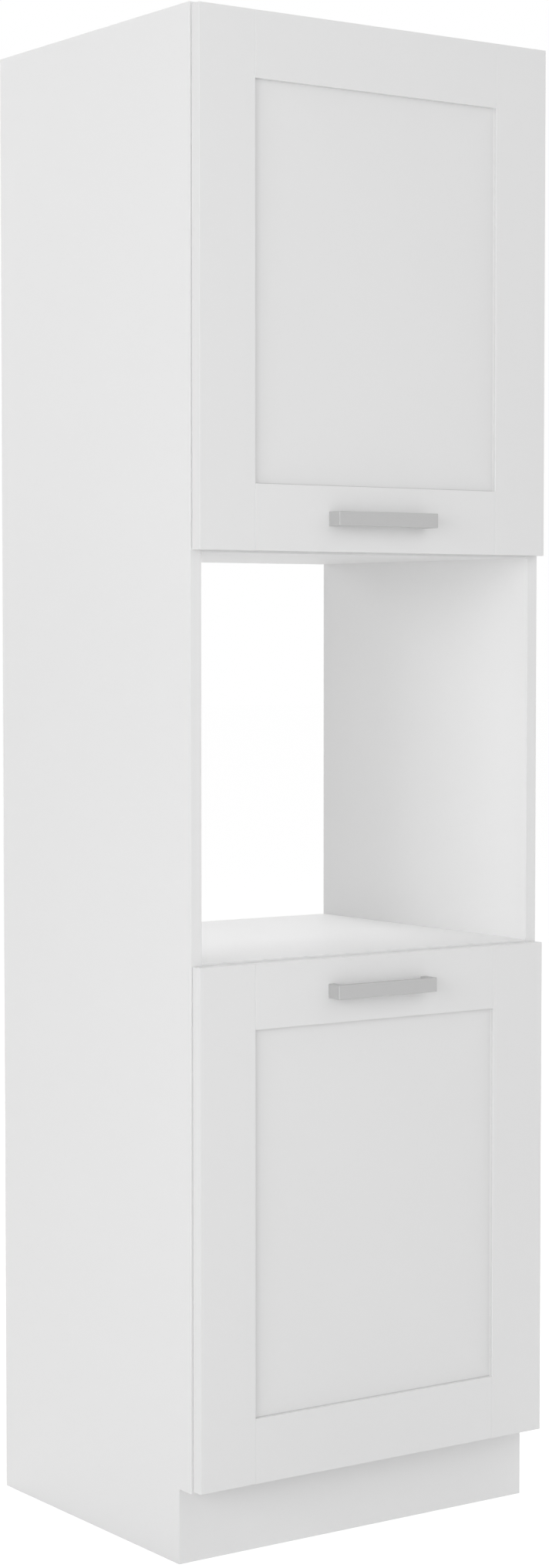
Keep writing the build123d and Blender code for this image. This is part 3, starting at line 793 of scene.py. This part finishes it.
side_face = -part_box("left_side_panel")[1].x
pin_end, _, pin_length, *_ = seats("upper_shelf_pins")[0]
in_hole = (abs(pin_end.x) - side_face) / MM
reach = pin_length / MM
pin_shape = [(0, 0), (2.0, 0), (2.5, 0.6), (2.5, in_hole), (COLLAR, in_hole + 0.05),
             (COLLAR, in_hole + 0.7), (3.3, in_hole + 0.85), (2.5, in_hole + 0.9),
             (2.5, reach - 0.5), (2.1, reach), (0, reach)]
pin_outline = [(radius / COLLAR, rise / reach) for radius, rise in pin_shape]
pin_tree, sizes = new_tree("collared_shelf_pin", ("Collar Radius", "Length"))
pin = roll_up(pin_tree, 24, len(pin_outline), pin_outline, sizes["Collar Radius"],
              sizes["Length"])
stand_copies(pin_tree, sizes, pin, seed=3)
for part in ("upper_", "lower_"):
    starts, aims = [], []
    for end, aim, *_ in seats(part + "shelf_pins"):
        in_right_side = end.x > 0
        starts.append(end + aim * pin_length if in_right_side else end)
        aims.append(-aim if in_right_side else aim)
    pins = run_tree(part + "collared_shelf_pins", pin_tree, starts, aims=aims,
                    collar_radius=COLLAR * MM, length=pin_length,
                    finish=finish_of_slot[slot_of[part + "shelf_pins"]])
    settle(pins, part + "shelf_pins")
    print(part + "shelf_pins", len(starts), "pins,", round(in_hole, 2), "mm in the hole,",
          round(reach, 2), "mm long")

# %% [markdown]
# ## Rounded edges on the metal fittings
#
# Stamped and cast metal never has a perfectly sharp edge: the die leaves a small round, and
# that round catches a thin line of light, which tells the eye that it is metal. The solid
# model keeps these edges sharp, because rounds cost many faces there. Here a copy of each
# bracket and hinge part has its loose triangles merged, its flat faces joined, and a Bevel
# modifier rounds every edge sharper than 20 degrees. The modifier marks its own faces with the
# second material slot. That mark decides the shading: a flat keeps its own direction up to its
# edge, and only the round between two flats turns from one to the other. The copy stands for
# the CAD node.

# %% Shading of flats and rounds
SHARP = math.radians(20)
ROUND_BLEND = math.radians(50)


def shade_rounds(mesh):
    """Normals for a bevelled mesh: flats stay flat, marked rounds lead from one to the next."""
    touching = [[] for _ in mesh.vertices]
    for face in mesh.polygons:
        for vertex in face.vertices:
            touching[vertex].append(face)
    normals = []
    for face in mesh.polygons:
        reach = ROUND_BLEND if face.material_index else SHARP
        for vertex in face.vertices:
            near = [other for other in touching[vertex]
                    if other.normal.angle(face.normal, 0.0) < reach]
            flats = [other for other in near if not other.material_index]
            blend = sum((other.normal * other.area for other in flats or near), Vector())
            normals.append(blend.normalized() if blend.length > 0 else face.normal.copy())
    for face in mesh.polygons:
        face.material_index = 0
    mesh.materials.pop()
    mesh.normals_split_custom_set(normals)


# %% Rounded copies
LEVEL = math.radians(1)  # triangles that meet at less than this are one flat face


def rounded_copy(node, edge_round):
    """A copy of a CAD node with small rounds on its sharp edges, in the node's place."""
    shape = bmesh.new()
    shape.from_mesh(nodes[node].data)
    bmesh.ops.remove_doubles(shape, verts=shape.verts, dist=WELD)
    bmesh.ops.dissolve_limit(shape, angle_limit=LEVEL, verts=shape.verts, edges=shape.edges)
    mesh = bpy.data.meshes.new(node + "_rounded")
    shape.to_mesh(mesh)
    shape.free()
    for _ in ("flats", "rounds"):
        mesh.materials.append(finish_of_slot[slot_of[node]])
    mesh.shade_smooth()
    piece = bpy.data.objects.new(node + "_rounded", mesh)
    bpy.context.scene.collection.objects.link(piece)
    bevel = piece.modifiers.new("edge_round", "BEVEL")
    bevel.width, bevel.segments, bevel.angle_limit = edge_round, 2, SHARP
    bevel.use_clamp_overlap, bevel.material = False, 1
    plain_mesh(piece)
    shade_rounds(piece.data)
    settle(piece, node)
    return piece


edge_rounds = {"wall_brackets": 0.2}  # radii in millimetres
for part in ("upper_", "lower_"):
    edge_rounds.update({part + "hinge_arms": 0.15, part + "mounting_plates": 0.2,
                        part + "hinge_cups": 0.08, part + "inner_links": 0.1,
                        part + "outer_links": 0.25})
for node, edge_round in edge_rounds.items():
    piece = rounded_copy(node, edge_round * MM)
    print(node, len(piece.data.polygons), "faces")

# %% [markdown]
# ## The bead of paint beside each panel
#
# Where the centre panel of a door meets its stiles, the sprayed lacquer gathers in the corner
# and bridges it with a fine bead. On the real door this shows as a thin light line at the foot
# of the recess. A bead follows a path, so its tree takes the two upright edges of the recess,
# makes curves of them and sweeps a small circle along each.

# %% Paint beads
BEAD_RADIUS = 0.6 * MM

bead_tree, sizes = new_tree("paint_bead", ("Bead Radius",))
path = add(bead_tree, "GeometryNodeMeshToCurve", {"Mesh": sizes["Geometry"]})
section = add(bead_tree, "GeometryNodeCurvePrimitiveCircle", {"Resolution": 16,
                                                              "Radius": sizes["Bead Radius"]})
bead = add(bead_tree, "GeometryNodeCurveToMesh", {"Curve": path.outputs[0],
                                                  "Profile Curve": section.outputs[0],
                                                  "Fill Caps": True})
finish_tree(bead_tree, sizes, bead.outputs[0])
for part, (left, right, low, high, face_y) in recesses.items():
    corners = [(left, face_y, low), (right, face_y, low), (right, face_y, high),
               (left, face_y, high)]
    bead = run_tree(part + "panel_paint_bead", bead_tree, corners, edges=[(1, 2), (3, 0)],
                    bead_radius=BEAD_RADIUS, finish=door_lacquer)
    settle(bead, part + "panel", replaces=False)
    print(part + "bead", len(bead.data.polygons), "faces")

# %% [markdown]
# ## Light and floor
#
# The cabinet stands in a white studio tent. Its walls give soft light from all around, and each
# wall has its own strength. In a world shader the Generated coordinate is the direction of the
# light, so the strength of each wall is multiplied by how far the direction points to it. Five
# large soft boxes add the slow changes that a photograph has: two behind the cabinet shine
# through the open niche onto its floor, two on the left make the left side a little lighter
# than the front, and one lifts the front from above. The floor is a diffuse white. Towards the
# camera it glows a little by itself, so that it melts into the white background and still keeps
# the cabinet's soft shadow.

# %% Studio tent
TENT_RIGHT, TENT_BACK, TENT_TOP = 0.87, 0.38, 0.1
TENT_LEFT, TENT_FRONT = 0.26, 0.49

world = bpy.data.worlds.new("white_studio_tent")
world.use_nodes = True
bpy.context.scene.world = world
tent = world.node_tree
tent.nodes.clear()
direction = add(tent, "ShaderNodeTexCoord").outputs["Generated"]
reverse = add(tent, "ShaderNodeVectorMath", {0: direction, 1: (-1, -1, -1)},
              operation="MULTIPLY")
walls = []
for way, strengths in ((direction, (TENT_RIGHT, TENT_BACK, TENT_TOP)),
                       (reverse.outputs["Vector"], (TENT_LEFT, TENT_FRONT, 0))):
    ahead = add(tent, "ShaderNodeVectorMath", {0: way, 1: (0, 0, 0)}, operation="MAXIMUM")
    wall = add(tent, "ShaderNodeVectorMath", {0: ahead.outputs["Vector"], 1: strengths},
               operation="DOT_PRODUCT")
    walls.append(wall.outputs["Value"])
strength = add(tent, "ShaderNodeMath", {0: walls[0], 1: walls[1]}).outputs["Value"]
soft_light = add(tent, "ShaderNodeBackground", {"Color": (1, 1, 1, 1), "Strength": strength})
white_view = add(tent, "ShaderNodeBackground", {"Color": (1, 1, 1, 1), "Strength": 1.0})
ray = add(tent, "ShaderNodeLightPath").outputs
seen = add(tent, "ShaderNodeMath", {0: ray["Is Camera Ray"], 1: ray["Is Glossy Ray"]},
           operation="MAXIMUM")
seen = add(tent, "ShaderNodeMath", {0: seen.outputs["Value"], 1: ray["Is Transmission Ray"]},
           operation="MAXIMUM")
tent_mix = add(tent, "ShaderNodeMixShader", {0: seen.outputs["Value"],
                                             1: soft_light.outputs["Background"],
                                             2: white_view.outputs["Background"]})
add(tent, "ShaderNodeOutputWorld", {"Surface": tent_mix.outputs["Shader"]})
print("tent walls:", TENT_RIGHT, TENT_BACK, TENT_TOP, TENT_LEFT, TENT_FRONT)

# %% Soft boxes
def soft_box(name, place, size, power):
    """A square soft light, size metres wide, aimed at the middle of the cabinet."""
    lamp = bpy.data.lights.new(name, "AREA")
    lamp.shape, lamp.size, lamp.energy = "SQUARE", size, power
    holder = bpy.data.objects.new(name, lamp)
    holder.location = place
    aim = (cad_low + cad_high) / 2 - Vector(place)
    holder.rotation_euler = aim.to_track_quat("-Z", "Y").to_euler()
    holder.visible_camera = False
    bpy.context.scene.collection.objects.link(holder)


soft_box("soft_box_behind", (-0.5, 5.5, 3.0), 2.0, 85)
soft_box("soft_box_behind_high", (0.5, 3.5, 5.5), 2.0, 87)
soft_box("soft_box_left", (-5.5, -2.0, 2.0), 2.5, 73)
soft_box("soft_box_left_front", (-4.2, -4.2, 1.2), 4.0, 72)
soft_box("soft_box_front_high", (0.0, -5.0, 5.0), 4.0, 25)
print("soft boxes:", len(bpy.data.lights))

# %% Studio floor
FLOOR_REACH = 40  # metres to each side
GLOW_SHARE, GLOW_STRENGTH = 0.4, 1.86

floor_mesh = bpy.data.meshes.new("studio_floor")
floor_corners = [(x * FLOOR_REACH, y * FLOOR_REACH, 0)
                 for x, y in ((-1, -1), (1, -1), (1, 1), (-1, 1))]
floor_mesh.from_pydata(floor_corners, [], [(0, 1, 2, 3)])
floor = bpy.data.objects.new("studio_floor", floor_mesh)
bpy.context.scene.collection.objects.link(floor)
floor_paint = bpy.data.materials.new("white_studio_floor")
floor_paint.use_nodes = True
paint = floor_paint.node_tree
paint.nodes.clear()
matt_floor = add(paint, "ShaderNodeBsdfDiffuse", {"Color": linear("#EEEEEE")})
glow = add(paint, "ShaderNodeEmission", {"Color": (1, 1, 1, 1), "Strength": GLOW_STRENGTH})
ray = add(paint, "ShaderNodeLightPath").outputs
seen = add(paint, "ShaderNodeMath", {0: ray["Is Camera Ray"], 1: ray["Is Glossy Ray"]},
           operation="MAXIMUM")
share = add(paint, "ShaderNodeMath", {0: seen.outputs["Value"], 1: GLOW_SHARE},
            operation="MULTIPLY")
floor_mix = add(paint, "ShaderNodeMixShader", {0: share.outputs["Value"],
                                               1: matt_floor.outputs["BSDF"],
                                               2: glow.outputs["Emission"]})
add(paint, "ShaderNodeOutputMaterial", {"Surface": floor_mix.outputs["Shader"]})
floor_mesh.materials.append(floor_paint)
floor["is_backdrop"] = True
print("floor (m):", 2 * FLOOR_REACH, "square")

# %% [markdown]
# ## Camera
#
# The camera stands at chest height, to the left of the cabinet, and looks slightly down. Its
# place and lens were worked out from the edges of the cabinet in the photograph.

# %% Camera
TURN, TILT_DOWN = -34.968, 2.858  # degrees

camera_data = bpy.data.cameras.new("camera")
camera_data.lens = 69.7
camera_data.sensor_width = 36.0
camera = bpy.data.objects.new("camera", camera_data)
camera.location = (-2.530, -3.613, 1.268)
camera.rotation_euler = (math.radians(90 - TILT_DOWN), 0.0, math.radians(TURN))
bpy.context.scene.collection.objects.link(camera)
bpy.context.scene.camera = camera
bpy.context.scene.view_settings.view_transform = "Standard"
print("camera at (m):", [round(v, 3) for v in camera.location])

# %% [markdown]
# ## Compare the size
#
# The dressed cabinet has to fill the same box as the solid one. The last line prints how much its
# box grows beyond the solid one's.

# %% Size
low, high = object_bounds()
print("box grows by (mm):", [round(v / MM, 2) for v in (high - low) - (cad_high - cad_low)])
